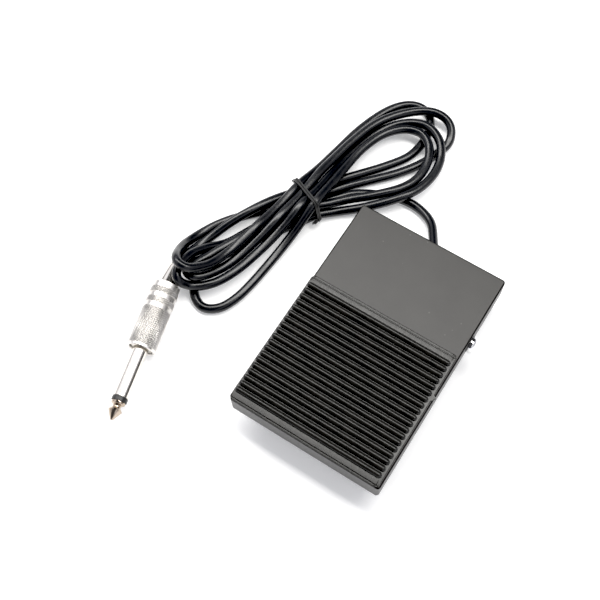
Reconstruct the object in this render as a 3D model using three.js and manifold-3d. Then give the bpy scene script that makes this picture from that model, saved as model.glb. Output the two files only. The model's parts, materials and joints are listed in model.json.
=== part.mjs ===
// Sustain pedal: a folded steel treadle hinged on a folded steel base, with a ribbed grip mat, a return
// spring, a microswitch, and a moulded cable that ends in a quarter-inch phone plug.
// Millimetres. +Z up, +Y to the rear where the cable leaves. The origin is on the floor, under the middle.

import * as THREE from 'three';
import { mergeVertices } from 'three/addons/utils/BufferGeometryUtils.js';
import Module from 'manifold-3d';

const wasm = await Module();
wasm.setup();

// ---------------------------------------------------------------- driving dimensions

const PEDAL = { width: 67, length: 100, height: 22 };
const SHEET = 1.2;                       // thickness of the folded steel
const SOLE = { height: 3, halfWidth: 31, front: -46, rear: 49, corner: 2 };
const PIVOT = { y: 21, z: 16, radius: 1.5 };
const LID_SKIRT = 11;                    // depth of the folded skirt round the lid
const WALL_OUTER = 31.7;                 // half width over the base's side walls
const FIT = 0.3;                         // running gap round a pin in its hole
const GAP = 0.15;                        // gap left between pieces that meet only when the pedal moves
const MAT = { left: -33.7, right: 32.7, front: -49.9, rear: 11.5, base: 0.9 };
const RIBS = { first: 6.55, pitch: 2.88, count: 19, half: 1.2, height: 1.3 };
const CABLE = { radius: 2, exitHeight: 8.2, sides: 6, step: 3.2 };
const PLUG = { x: -72.1, y: -79.1, z: 6.15, turn: 14.2, sleeve: 3.175, barrel: 6.1 };
const NECK = { start: 61.95, end: 71.4, wide: 4.7, narrow: 2.6 };
const TIE = { x: -60.7, y: 47.7, turn: 63.4, width: 1.9, thickness: 0.8, tail: 3, loose: 3.4 };
const SWITCH = { left: 12.2, width: 5.8, front: 2.2, length: 12.8, bottom: 8.5, height: 6.3 };
const LEVER = { y: 14, z: 16.3, tip: -3.8, thickness: 0.4 };
const BRACKET = { footX: 23, screws: [4.5, 12.5] };
const CLAMP = { y: 39, screwX: 7 };
const SPRING = { y: -18, radius: 4, wire: 0.5, turns: 7 };

const HALF_WIDTH = PEDAL.width / 2;
const HALF_LENGTH = PEDAL.length / 2;
const FLOOR_TOP = SOLE.height + SHEET;              // upper face of the base plate's floor
const LID_UNDER = PEDAL.height - SHEET;             // under face of the lid
const SWITCH_TOP = SWITCH.bottom + SWITCH.height;
const SWITCH_RIGHT = SWITCH.left + SWITCH.width;
const SWITCH_MIDDLE = SWITCH.left + SWITCH.width / 2;

// ---------------------------------------------------------------- materials

const surface = (color, roughness, metalness) => ({ color, roughness, metalness });
const BLACK_PAINT = surface(0x4a4946, 0.45, 0.3);
const RUBBER = surface(0x1b1b1b, 0.75, 0);
const NICKEL = surface(0xd8d4cc, 0.25, 1);
const STEEL = surface(0x9a9a98, 0.4, 1);
const BLACK_PLASTIC = surface(0x161616, 0.5, 0);
const CABLE_PVC = surface(0x0d0e10, 0.25, 0);
const NYLON = surface(0xe6e2d6, 0.6, 0);
const BRASS = surface(0xc9a552, 0.35, 1);
const RED_WIRE = surface(0xa3201c, 0.5, 0);

// ---------------------------------------------------------------- solids

const pedal = new THREE.Group();

function addMesh(name, geometry, look, parent = pedal) {
    const mesh = new THREE.Mesh(geometry, new THREE.MeshStandardMaterial(look));
    mesh.name = name;
    parent.add(mesh);
    return mesh;
}

function toSolid(geometry) {
    const bare = geometry.index ? geometry.toNonIndexed() : geometry.clone();
    bare.deleteAttribute('normal');
    bare.deleteAttribute('uv');
    const merged = mergeVertices(bare, 1e-4);
    return new wasm.Manifold(new wasm.Mesh({
        numProp: 3,
        vertProperties: new Float32Array(merged.attributes.position.array),
        triVerts: new Uint32Array(merged.index.array),
    }));
}

function toGeometry(solid) {
    const mesh = solid.getMesh();
    const geometry = new THREE.BufferGeometry();
    geometry.setAttribute('position', new THREE.BufferAttribute(mesh.vertProperties, 3));
    geometry.setIndex(new THREE.BufferAttribute(mesh.triVerts, 1));
    return geometry;
}

function join(...geometries) {
    return toGeometry(geometries.map(toSolid).reduce((whole, piece) => whole.add(piece)));
}

function cut(geometry, ...holes) {
    return toGeometry(holes.map(toSolid).reduce((whole, hole) => whole.subtract(hole), toSolid(geometry)));
}

function block(x0, x1, y0, y1, z0, z1) {
    const geometry = new THREE.BoxGeometry(x1 - x0, y1 - y0, z1 - z0);
    return geometry.translate((x0 + x1) / 2, (y0 + y1) / 2, (z0 + z1) / 2);
}

// A round bar along an axis, from one place on that axis to another, centred on the other two coordinates.
function rod(axis, radius, from, to, a, b, sides = 20) {
    const geometry = new THREE.CylinderGeometry(radius, radius, to - from, sides);
    const middle = (from + to) / 2;
    if (axis === 'x') return geometry.rotateZ(Math.PI / 2).translate(middle, a, b);
    if (axis === 'y') return geometry.translate(a, middle, b);
    return geometry.rotateX(Math.PI / 2).translate(a, b, middle);
}

// A turned solid about +Y from [radius, distance] pairs.
function turned(profile, sides = 24) {
    const points = profile.map(([radius, along]) => new THREE.Vector2(radius, along));
    return new THREE.LatheGeometry(points, sides);
}

function roundedRectangle(x0, x1, y0, y1, corner) {
    const shape = new THREE.Shape();
    shape.moveTo(x0 + corner, y0);
    shape.lineTo(x1 - corner, y0);
    shape.absarc(x1 - corner, y0 + corner, corner, -Math.PI / 2, 0);
    shape.lineTo(x1, y1 - corner);
    shape.absarc(x1 - corner, y1 - corner, corner, 0, Math.PI / 2);
    shape.lineTo(x0 + corner, y1);
    shape.absarc(x0 + corner, y1 - corner, corner, Math.PI / 2, Math.PI);
    shape.lineTo(x0, y0 + corner);
    shape.absarc(x0 + corner, y0 + corner, corner, Math.PI, Math.PI * 1.5);
    return shape;
}

function slab(shape, z0, z1, curveSegments = 4) {
    const options = { depth: z1 - z0, bevelEnabled: false, curveSegments };
    return new THREE.ExtrudeGeometry(shape, options).translate(0, 0, z0);
}

function disc(radius, sides) {
    const shape = new THREE.Shape();
    for (let i = 0; i < sides; i += 1) {
        const angle = (i / sides) * Math.PI * 2;
        const corner = [radius * Math.cos(angle), radius * Math.sin(angle)];
        if (i === 0) shape.moveTo(...corner);
        else shape.lineTo(...corner);
    }
    return shape.closePath();
}

function tube(points, radius, sides, step) {
    const path = new THREE.CatmullRomCurve3(points, false, 'centripetal');
    const steps = Math.max(2, Math.round(path.getLength() / step));
    const options = { steps, bevelEnabled: false, extrudePath: path };
    return new THREE.ExtrudeGeometry(disc(radius, sides), options);
}

const vector = ([x, y, z]) => new THREE.Vector3(x, y, z);

// ---------------------------------------------------------------- sole and base

function solePad() {
    const { halfWidth, front, rear, corner } = SOLE;
    return slab(roundedRectangle(-halfWidth, halfWidth, front, rear, corner), 0, SOLE.height);
}

// A steel tray: a floor, two low side walls that rise to ears at the pivot, and a rear wall for the cable.
function basePlate() {
    const front = SOLE.front + 2;
    const rear = 47.7;
    const inner = WALL_OUTER - SHEET;
    const wallTop = 9.5;
    const earTop = PIVOT.z + 3.5;
    const earHalf = 7;
    const tray = join(
        block(-WALL_OUTER, WALL_OUTER, front, rear, SOLE.height, FLOOR_TOP),
        block(inner, WALL_OUTER, front, rear, SOLE.height, wallTop),
        block(-WALL_OUTER, -inner, front, rear, SOLE.height, wallTop),
        block(-WALL_OUTER, WALL_OUTER, rear - SHEET, rear, SOLE.height, 14),
        block(inner, WALL_OUTER, PIVOT.y - earHalf, PIVOT.y + earHalf, SOLE.height, earTop),
        block(-WALL_OUTER, -inner, PIVOT.y - earHalf, PIVOT.y + earHalf, SOLE.height, earTop),
    );
    return cut(
        tray,
        rod('x', PIVOT.radius + FIT, -40, 40, PIVOT.y, PIVOT.z),
        rod('y', 3.9, rear - 3, rear + 3, 0, CABLE.exitHeight),
        ...BRACKET.screws.map((y) => rod('z', 1.4, 0, 8, BRACKET.footX, y)),
        rod('z', 1.4, 0, 8, CLAMP.screwX, CLAMP.y),
    );
}

// A domed cap with a blind hole for the shaft's right end, made about +Y and laid along X.
function pivotCap() {
    const start = HALF_WIDTH + 0.2;
    const radius = 3.6;
    const height = 3;
    const arc = [];
    for (let i = 0; i <= 6; i += 1) {
        const angle = (i / 6) * (Math.PI / 2);
        arc.push([radius * Math.cos(angle), 0.6 + (height - 0.6) * Math.sin(angle)]);
    }
    arc[arc.length - 1][0] = 0;
    const bore = PIVOT.radius + FIT;
    const dome = turned([[0, 1.4], [bore, 1.4], [bore, 0], [radius, 0], ...arc]);
    dome.rotateZ(-Math.PI / 2);
    return dome.translate(start, PIVOT.y, PIVOT.z);
}

// The low ring pushed on the shaft's left end, with a sloped rim.
function retainingRing() {
    const start = HALF_WIDTH + 0.1;
    const bore = PIVOT.radius + FIT;
    const ring = turned([[bore, 0], [2.8, 0], [2.8, 0.2], [2.4, 0.5], [bore, 0.5], [bore, 0]]);
    ring.rotateZ(Math.PI / 2);
    return ring.translate(-start, PIVOT.y, PIVOT.z);
}

function pivotWasher(side) {
    const inner = side * (WALL_OUTER + 0.1);
    const outer = side * (HALF_WIDTH - SHEET - 0.1);
    const [from, to] = [Math.min(inner, outer), Math.max(inner, outer)];
    const ring = rod('x', 3.6, from, to, PIVOT.y, PIVOT.z);
    return cut(ring, rod('x', PIVOT.radius + FIT, from - 1, to + 1, PIVOT.y, PIVOT.z));
}

function bumper(x, y, top) {
    return join(
        rod('z', 4.5, FLOOR_TOP, FLOOR_TOP + 1.5, x, y, 16),
        rod('z', 3.5, FLOOR_TOP, top, x, y, 16),
    );
}

function addBase() {
    addMesh('sole_pad', solePad(), RUBBER);
    addMesh('base_plate', basePlate(), BLACK_PAINT);
    const shaft = rod('x', PIVOT.radius, -HALF_WIDTH - 0.8, HALF_WIDTH + 1.3, PIVOT.y, PIVOT.z);
    addMesh('pivot_shaft', shaft, STEEL);
    addMesh('pivot_cap', pivotCap(), NICKEL);
    addMesh('pivot_retaining_ring', retainingRing(), NICKEL);
    addMesh('pivot_washer_right', pivotWasher(1), NYLON);
    addMesh('pivot_washer_left', pivotWasher(-1), NYLON);
    const restTop = LID_UNDER - GAP;
    addMesh('rest_bumper_right', bumper(22, 42, restTop), RUBBER);
    addMesh('rest_bumper_left', bumper(-22, 42, restTop), RUBBER);
    const stopTop = 16.3;
    addMesh('stop_bumper_right', bumper(20, -38, stopTop), RUBBER);
    addMesh('stop_bumper_left', bumper(-20, -38, stopTop), RUBBER);
}

// ---------------------------------------------------------------- treadle

function treadleCover() {
    const skirtBottom = PEDAL.height - LID_SKIRT;
    const insideWidth = HALF_WIDTH - SHEET;
    const insideLength = HALF_LENGTH - SHEET;
    const shell = cut(
        block(-HALF_WIDTH, HALF_WIDTH, -HALF_LENGTH, HALF_LENGTH, skirtBottom, PEDAL.height),
        block(-insideWidth, insideWidth, -insideLength, insideLength, 0, LID_UNDER),
    );
    return cut(shell, rod('x', PIVOT.radius + FIT, -40, 40, PIVOT.y, PIVOT.z));
}

// The mat's side view: a flat base with a row of half-round ribs, pulled across the treadle.
function gripMat() {
    const shape = new THREE.Shape();
    shape.moveTo(MAT.front, 0);
    shape.lineTo(MAT.rear, 0);
    shape.lineTo(MAT.rear, MAT.base);
    for (let rib = 0; rib < RIBS.count; rib += 1) {
        const crest = RIBS.first - rib * RIBS.pitch;
        shape.lineTo(crest + RIBS.half, MAT.base);
        for (let i = 1; i < 4; i += 1) {
            const angle = (i / 4) * Math.PI;
            shape.lineTo(crest + RIBS.half * Math.cos(angle), MAT.base + RIBS.height * Math.sin(angle));
        }
        shape.lineTo(crest - RIBS.half, MAT.base);
    }
    shape.lineTo(MAT.front, MAT.base);
    shape.closePath();
    const mat = new THREE.ExtrudeGeometry(shape, { depth: MAT.right - MAT.left, bevelEnabled: false });
    // the shape's x becomes the pedal's y, its y becomes z, and its depth runs along x
    mat.rotateY(Math.PI / 2).rotateX(Math.PI / 2);
    return mat.translate(MAT.left, 0, PEDAL.height);
}

// A tongue under the lid that presses the switch lever.
function striker() {
    const bottom = LEVER.z + LEVER.thickness / 2 + GAP;
    return join(
        block(SWITCH_MIDDLE - 4, SWITCH_MIDDLE + 4, -7, 3, LID_UNDER - 1, LID_UNDER),
        block(SWITCH_MIDDLE - 1.5, SWITCH_MIDDLE + 1.5, -3.6, -2.4, bottom, LID_UNDER),
    );
}

function addTreadle() {
    addMesh('treadle_cover', treadleCover(), BLACK_PAINT);
    addMesh('grip_mat', gripMat(), RUBBER);
    addMesh('switch_striker', striker(), STEEL);
    addMesh('spring_guide_upper', rod('z', 2.6, 17.6, LID_UNDER, 0, SPRING.y, 16), STEEL);
}

// ---------------------------------------------------------------- return spring

function returnSpring() {
    const bottom = FLOOR_TOP + SPRING.wire + 0.1;
    const top = LID_UNDER - SPRING.wire - 0.1;
    const points = [];
    const perTurn = 10;
    const count = SPRING.turns * perTurn;
    for (let i = 0; i <= count; i += 1) {
        const angle = (i / perTurn) * Math.PI * 2;
        const height = bottom + (top - bottom) * (i / count);
        const x = SPRING.radius * Math.cos(angle);
        const y = SPRING.y + SPRING.radius * Math.sin(angle);
        points.push(new THREE.Vector3(x, y, height));
    }
    const turnLength = (Math.PI * 2 * SPRING.radius) / perTurn;
    return tube(points, SPRING.wire, 5, turnLength);
}

function addSpring() {
    addMesh('return_spring', returnSpring(), STEEL);
    addMesh('spring_guide_lower', rod('z', 2.6, FLOOR_TOP, 10.5, 0, SPRING.y, 16), STEEL);
}

// ---------------------------------------------------------------- microswitch

const SWITCH_SCREWS = [SWITCH.front + 3.15, SWITCH.front + 9.65];
const SWITCH_SCREW_Z = SWITCH.bottom + 1.9;
const PLUNGER_TOP = LEVER.z - LEVER.thickness / 2 - GAP;
const PLUNGER = { y: 8, halfLength: 1, halfWidth: 0.8, top: PLUNGER_TOP, bottom: 13.6 };

function switchBody() {
    const rear = SWITCH.front + SWITCH.length;
    const earTop = LEVER.z + 1.2;
    const housing = join(
        block(SWITCH.left, SWITCH_RIGHT, SWITCH.front, rear, SWITCH.bottom, SWITCH_TOP),
        block(SWITCH.left, SWITCH.left + 1, LEVER.y - 1.2, rear, SWITCH_TOP - 1, earTop),
        block(SWITCH_RIGHT - 1, SWITCH_RIGHT, LEVER.y - 1.2, rear, SWITCH_TOP - 1, earTop),
    );
    const clear = 0.25;
    return cut(
        housing,
        block(
            SWITCH_MIDDLE - PLUNGER.halfWidth - clear, SWITCH_MIDDLE + PLUNGER.halfWidth + clear,
            PLUNGER.y - PLUNGER.halfLength - clear, PLUNGER.y + PLUNGER.halfLength + clear,
            PLUNGER.bottom - 0.9, SWITCH_TOP + 1,
        ),
        rod('x', 0.55, SWITCH.left - 1, SWITCH_RIGHT + 1, LEVER.y, LEVER.z, 12),
        ...SWITCH_SCREWS.map(
            (y) => rod('x', 1.15, SWITCH.left - 1, SWITCH_RIGHT + 1, y, SWITCH_SCREW_Z, 12),
        ),
    );
}

function switchLever() {
    const half = 1.6;
    const low = LEVER.z - LEVER.thickness / 2;
    const high = LEVER.z + LEVER.thickness / 2;
    const blade = join(
        block(SWITCH_MIDDLE - half, SWITCH_MIDDLE + half, LEVER.tip, LEVER.y - 0.5, low, high),
        rod('x', 1, SWITCH_MIDDLE - half, SWITCH_MIDDLE + half, LEVER.y, LEVER.z, 12),
    );
    return cut(blade, rod('x', 0.55, SWITCH_MIDDLE - 3, SWITCH_MIDDLE + 3, LEVER.y, LEVER.z, 12));
}

function switchPlunger() {
    const { y, halfLength, halfWidth, top, bottom } = PLUNGER;
    const left = SWITCH_MIDDLE - halfWidth;
    const right = SWITCH_MIDDLE + halfWidth;
    return block(left, right, y - halfLength, y + halfLength, bottom, top);
}

// A folded angle: a foot screwed to the base and an upright plate that carries the switch.
function switchBracket() {
    const plate = SWITCH_RIGHT + 0.1;
    const angle = join(
        block(plate, plate + 1, SWITCH.front, SWITCH.front + SWITCH.length, FLOOR_TOP, SWITCH_TOP - 1),
        block(plate, plate + 9, SWITCH.front, SWITCH.front + SWITCH.length, FLOOR_TOP, FLOOR_TOP + 1),
    );
    return cut(
        angle,
        ...SWITCH_SCREWS.map((y) => rod('x', 1.15, plate - 1, plate + 3, y, SWITCH_SCREW_Z, 12)),
        ...BRACKET.screws.map((y) => rod('z', 1.4, 0, 8, BRACKET.footX, y)),
    );
}

function screwAlongX(y) {
    const headAt = SWITCH_RIGHT + 1.2;
    return join(
        rod('x', 0.85, SWITCH.left - 1.9, headAt + 0.5, y, SWITCH_SCREW_Z, 12),
        rod('x', 1.8, headAt, headAt + 1.3, y, SWITCH_SCREW_Z, 12),
    );
}

function nutAlongX(y) {
    const nut = rod('x', 2, SWITCH.left - 1.5, SWITCH.left - 0.1, y, SWITCH_SCREW_Z, 6);
    return cut(nut, rod('x', 1.15, SWITCH.left - 3, SWITCH.left + 1, y, SWITCH_SCREW_Z, 12));
}

// A screw driven down through the base's floor, with its head resting on the piece that it holds.
function floorScrew(x, y, seat) {
    return join(
        rod('z', 1.1, SOLE.height + 0.1, seat + 0.5, x, y, 12),
        rod('z', 2.2, seat, seat + 1.3, x, y, 12),
    );
}

function terminal(y) {
    const low = SWITCH.bottom - 3.2;
    return block(SWITCH_MIDDLE - 0.9, SWITCH_MIDDLE + 0.9, y - 0.3, y + 0.3, low, SWITCH.bottom);
}

function addSwitch() {
    addMesh('switch_body', switchBody(), BLACK_PLASTIC);
    addMesh('switch_lever', switchLever(), STEEL);
    addMesh('switch_plunger', switchPlunger(), RED_WIRE);
    const pinEnds = [SWITCH.left + 0.1, SWITCH_RIGHT - 0.1];
    addMesh('switch_lever_pin', rod('x', 0.4, ...pinEnds, LEVER.y, LEVER.z, 12), STEEL);
    addMesh('switch_bracket', switchBracket(), STEEL);
    SWITCH_SCREWS.forEach((y, i) => {
        addMesh(`switch_screw_${i + 1}`, screwAlongX(y), STEEL);
        addMesh(`switch_nut_${i + 1}`, nutAlongX(y), STEEL);
    });
    BRACKET.screws.forEach((y, i) => {
        addMesh(`bracket_screw_${i + 1}`, floorScrew(BRACKET.footX, y, FLOOR_TOP + 1), STEEL);
    });
    addMesh('terminal_common', terminal(SWITCH.front + 1.3), BRASS);
    addMesh('terminal_open', terminal(SWITCH.front + 6.4), BRASS);
    addMesh('terminal_closed', terminal(SWITCH.front + 11.5), BRASS);
}

// ---------------------------------------------------------------- cable

// The cable's path as it lies coiled: places [x, y, z] of its centre line, from the switch end to the plug.
// Each lap runs through the tie, round the left loop, back over the tie and round the right loop.
const CABLE_START = [[0, 34, 8.2], [0, 44, 8.2], [0, 52, 8.2]];
const OUT_OF_THE_PEDAL = [
    [-3.5, 59, 6.5], [-9, 66.8, 4], [-18, 70.7, 2], [-28, 70, 2], [-38, 65.8, 2], [-46, 61, 2],
    [-52, 54.4, 2.5], [-57, 46.4, 3.2],
];
const FIRST_LAP = [
    [-62, 39, 2.6], [-70.5, 25, 2], [-77.5, 12, 2.5], [-83, 3, 6.6], [-85.6, -5, 10.6],
    [-86, -11, 12.4], [-85, -15, 12.2], [-82.6, -16.5, 11], [-79.9, -14.9, 7.4],
    [-76.4, -12.9, 6.1], [-73, -9.8, 6], [-70, -5.4, 6], [-66.7, 3, 6], [-64.3, 14, 6],
    [-61.5, 29, 6.5], [-59.5, 42, 7.5], [-58.3, 54, 7], [-57.3, 66, 6], [-55.3, 81, 6],
    [-50.5, 95.5, 6], [-43, 103.8, 6], [-34, 106.9, 6], [-25.5, 103.3, 6], [-20.3, 95.5, 6],
    [-19, 86, 6], [-21.8, 75, 6], [-28.5, 65.5, 6], [-38.5, 56, 4.5], [-46, 50.5, 3.2],
    [-53, 44.4, 3.2],
];
const SECOND_LAP = [
    [-60, 36, 2.4], [-67, 25.5, 2], [-74, 13, 2], [-79.5, 0, 2], [-80, -10.2, 2], [-75.9, -16, 2],
    [-70.3, -18.4, 2], [-64.3, -15, 2], [-60.7, -7.7, 2], [-58.9, 1.4, 2], [-57.4, 16.5, 2.5],
    [-56, 31, 5], [-54.5, 44.4, 9.8], [-54.6, 59.5, 7.5], [-54.2, 70, 6], [-52.3, 83, 6],
    [-48, 94, 6], [-41, 100.8, 6], [-33.5, 102, 6], [-27, 97.3, 6], [-23.8, 89, 6], [-24.2, 80, 6],
    [-28.5, 71.5, 6], [-36, 63.8, 6], [-44, 56.8, 6], [-50.5, 50, 6], [-55.2, 45.5, 6.6],
];
const THIRD_LAP = [
    [-61, 37, 4], [-68.5, 25.5, 2.5], [-74.6, 13.4, 2.2], [-79.6, 4, 4], [-82.8, -3, 6.6],
    [-83.8, -7.4, 8], [-83.5, -10.4, 9.2], [-81.2, -11.8, 9.6], [-77.6, -9.6, 8.4],
    [-74.4, -5, 7.2], [-70.5, 4, 6], [-66.8, 17, 6], [-64, 30, 6.5], [-62.4, 41, 7.2],
    [-61.6, 52, 7], [-60.1, 66, 6], [-57.8, 81, 6], [-53.3, 96, 6], [-46.5, 106.5, 6],
    [-38.5, 113.1, 6], [-31, 115.3, 6], [-25, 113.3, 5], [-21.8, 106.8, 3], [-23.4, 99.8, 2],
    [-27.2, 90.3, 2], [-34, 80.2, 2], [-42, 71.3, 2], [-49.6, 63, 2], [-55, 55.4, 2.5],
    [-60.7, 48.3, 3.2],
];
const FOURTH_LAP = [
    [-69.8, 38, 2], [-76.9, 30, 2], [-83.7, 21.4, 2], [-89.6, 11.6, 2.2], [-92, 3, 4.4],
    [-90.7, -4.6, 10.4], [-88.2, -9.2, 15.6], [-85.3, -11.9, 17.6], [-81.4, -11.6, 16.6],
    [-78.3, -7.8, 14], [-75.9, -2.8, 11], [-74, 4, 9], [-71.9, 13, 7.5], [-69.3, 26, 6.5],
    [-67, 39.5, 6.5], [-65.3, 50, 6.5], [-63.8, 61, 5.5], [-62.3, 75, 4], [-59.2, 92.7, 3],
    [-53.7, 107.4, 2], [-48.1, 114.2, 2], [-42, 116.5, 2], [-36.5, 114.5, 2], [-33, 109, 2],
    [-31.9, 100.4, 2], [-33.5, 91.3, 2], [-39.5, 81.7, 2], [-47.1, 72, 2], [-54.2, 63, 2.3],
    [-64.3, 50.1, 3.2],
];
const TO_THE_PLUG = [
    [-70.5, 41, 5], [-77, 29.5, 6], [-82.5, 20, 4.5], [-86.3, 11, 3], [-88.8, 2.6, 3.6],
    [-90, -3, 5.4],
];

// Points along the plug's axis at these distances from its tip.
function onPlugAxis(distance) {
    const angle = THREE.MathUtils.degToRad(PLUG.turn);
    return [PLUG.x - distance * Math.sin(angle), PLUG.y + distance * Math.cos(angle), PLUG.z];
}

// Lays the cable down: strands that press into each other move apart, the floor holds them up, and each
// strand keeps near its drawn path. The two ends are held by the pedal and by the plug.
function settle(points, drawn) {
    const apart = 2 * CABLE.radius + 0.15;
    const last = drawn[drawn.length - 1];
    const held = (point) => point.distanceTo(drawn[0]) < 19 || point.distanceTo(last) < 21.5;
    const fixed = drawn.map(held);
    const nearTie = (point) => Math.abs(alongTie(point)) < 4;
    const neckRadius = (distance) => {
        const share = THREE.MathUtils.clamp((distance - NECK.start) / (NECK.end - NECK.start), 0, 1);
        return THREE.MathUtils.lerp(NECK.wide, NECK.narrow, share);
    };
    const clearNeck = () => {
        const [start, ahead] = [vector(onPlugAxis(0)), vector(onPlugAxis(1))];
        const axis = ahead.sub(start);
        points.forEach((point, i) => {
            const distance = point.clone().sub(start).dot(axis);
            if (fixed[i] || distance < NECK.start || distance > NECK.end + 1) return;
            const foot = start.clone().addScaledVector(axis, distance);
            const away = point.clone().sub(foot);
            const needed = neckRadius(distance) + CABLE.radius + 0.3;
            if (away.length() < needed) point.copy(foot).addScaledVector(away, needed / away.length());
        });
    };
    const separate = () => {
        for (let i = 0; i < points.length; i += 1) {
            for (let j = i + 8; j < points.length; j += 1) {
                const offset = points[i].clone().sub(points[j]);
                const distance = offset.length();
                if (distance >= apart) continue;
                offset.multiplyScalar((apart - distance) / 2 / distance);
                if (!fixed[i]) points[i].add(offset);
                if (!fixed[j]) points[j].sub(offset);
            }
        }
    };
    // evens out how far neighbouring points have moved, which keeps the drawn curves from shrinking
    const smooth = (amount) => {
        const moved = points.map((point, i) => point.clone().sub(drawn[i]));
        for (let i = 1; i < points.length - 1; i += 1) {
            if (fixed[i]) continue;
            const middle = moved[i - 1].clone().add(moved[i + 1]).multiplyScalar(0.5);
            points[i].copy(drawn[i]).add(moved[i].clone().lerp(middle, amount));
        }
    };
    const drop = () => {
        points.forEach((point, i) => {
            if (fixed[i]) return;
            point.x += (drawn[i].x - point.x) * 0.03;
            point.y += (drawn[i].y - point.y) * 0.03;
            point.z += (drawn[i].z - point.z) * 0.005 - 0.01;
        });
    };
    // strands lie on the floor, or on the band where the tie holds them
    const keepUp = () => {
        points.forEach((point, i) => {
            const lowest = nearTie(point) ? CABLE.radius + 1.25 : CABLE.radius + 0.02;
            if (!fixed[i]) point.z = Math.max(point.z, lowest);
        });
    };
    for (let round = 0; round < 200; round += 1) {
        smooth(0.6);
        separate();
        clearNeck();
        drop();
        keepUp();
        separate();
    }
    for (let round = 0; round < 30; round += 1) {
        smooth(0.2);
        clearNeck();
        keepUp();
        separate();
    }
}

// How far a point lies from the plane of the tie.
function alongTie(point) {
    const angle = THREE.MathUtils.degToRad(TIE.turn);
    return (point.x - TIE.x) * Math.cos(angle) + (point.y - TIE.y) * Math.sin(angle);
}

function cableCentre() {
    const drawnPath = [
        ...CABLE_START, ...OUT_OF_THE_PEDAL, ...FIRST_LAP, ...SECOND_LAP, ...THIRD_LAP, ...FOURTH_LAP,
        ...TO_THE_PLUG, ...[75, 72, 66, 60, 54].map(onPlugAxis),
    ].map(vector);
    const path = new THREE.CatmullRomCurve3(drawnPath, false, 'centripetal');
    const spacing = 2;
    const drawn = path.getSpacedPoints(Math.round(path.getLength() / spacing));
    const points = drawn.map((point) => point.clone());
    settle(points, drawn);
    return points;
}

// The convex outline round the strands at the tie, as [across, up] pairs, at a distance from their centres.
function bundleOutline(centre, distance) {
    const angle = THREE.MathUtils.degToRad(TIE.turn);
    const across = (point) => (point.x - TIE.x) * Math.sin(angle) - (point.y - TIE.y) * Math.cos(angle);
    const ring = [];
    for (const point of centre.filter((candidate) => Math.abs(alongTie(candidate)) < 2.5)) {
        for (let i = 0; i < 16; i += 1) {
            const turn = (i / 16) * Math.PI * 2;
            ring.push([across(point) + distance * Math.cos(turn), point.z + distance * Math.sin(turn)]);
        }
    }
    ring.sort((a, b) => a[0] - b[0] || a[1] - b[1]);
    const cross = (o, a, b) => (a[0] - o[0]) * (b[1] - o[1]) - (a[1] - o[1]) * (b[0] - o[0]);
    const half = (list) => {
        const hull = [];
        for (const corner of list) {
            while (hull.length > 1 && cross(hull.at(-2), hull.at(-1), corner) <= 0) {
                hull.pop();
            }
            hull.push(corner);
        }
        return hull.slice(0, -1);
    };
    return [...half(ring), ...half([...ring].reverse())].map(([x, y]) => new THREE.Vector2(x, y));
}

// The tie's two ends twisted together, from a place on the band's side back along the strands.
function tieTail(x, y) {
    const tail = new THREE.BoxGeometry(TIE.thickness * 1.2, TIE.width * 0.8, TIE.tail, 1, 1, 8);
    const places = tail.attributes.position;
    for (let i = 0; i < places.count; i += 1) {
        const place = new THREE.Vector3().fromBufferAttribute(places, i);
        place.applyAxisAngle(new THREE.Vector3(0, 0, 1), (place.z / TIE.tail) * Math.PI);
        places.setXYZ(i, place.x, place.y, place.z);
    }
    return tail.rotateY(-0.35).translate(x, y, TIE.tail / 2);
}

// The end of the tie that is left over, a strip with a rounded end that stands out from the band's side.
function tieLooseEnd(x, y) {
    const half = TIE.width / 2;
    const strip = new THREE.Shape();
    strip.moveTo(TIE.loose, -half);
    strip.lineTo(half, -half);
    strip.absarc(half, 0, half, -Math.PI / 2, Math.PI / 2, true);
    strip.lineTo(TIE.loose, half);
    const options = { depth: TIE.thickness, bevelEnabled: false, curveSegments: 5 };
    const sheet = new THREE.ExtrudeGeometry(strip, options);
    return sheet.rotateX(-Math.PI / 2).rotateZ(0.6).translate(x, y, 0);
}

// A flat band round the bundle, with its twisted tail and its loose end.
function cableTie(centre) {
    const clearance = CABLE.radius + 0.3;
    const outline = bundleOutline(centre, clearance + TIE.thickness);
    const band = new THREE.Shape(outline);
    band.holes.push(new THREE.Path(bundleOutline(centre, clearance)));
    const loop = new THREE.ExtrudeGeometry(band, { depth: TIE.width, bevelEnabled: false });
    loop.translate(0, 0, -TIE.width / 2);
    const right = Math.max(...outline.map((corner) => corner.x));
    const left = Math.min(...outline.map((corner) => corner.x));
    const tie = join(loop, tieTail(right, 3.6), tieLooseEnd(left - 2.4, 4));
    // the band's plane is upright and faces along the strands
    tie.rotateX(Math.PI / 2).rotateZ(THREE.MathUtils.degToRad(TIE.turn - 90));
    tie.translate(TIE.x, TIE.y, 0);
    return tie;
}

function cableGrommet() {
    const wall = 47.7;
    const ring = join(
        rod('y', 3.6, wall - 3, wall + 0.9, 0, CABLE.exitHeight),
        rod('y', 4, wall + 0.1, wall + 0.9, 0, CABLE.exitHeight),
        rod('y', 4, wall - 3, wall - SHEET - 0.1, 0, CABLE.exitHeight),
    );
    return cut(ring, rod('y', CABLE.radius + FIT, wall - 5, wall + 3, 0, CABLE.exitHeight));
}

function cableClamp() {
    const top = CABLE.exitHeight + CABLE.radius + 1.6;
    const saddle = join(
        block(-4, 4, CLAMP.y - 2.5, CLAMP.y + 2.5, FLOOR_TOP, top),
        block(-4, 10, CLAMP.y - 2.5, CLAMP.y + 2.5, FLOOR_TOP, FLOOR_TOP + 1.6),
    );
    return cut(
        saddle,
        rod('y', CABLE.radius + FIT, CLAMP.y - 4, CLAMP.y + 4, 0, CABLE.exitHeight),
        rod('z', 1.4, 0, 8, CLAMP.screwX, CLAMP.y),
    );
}

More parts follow.
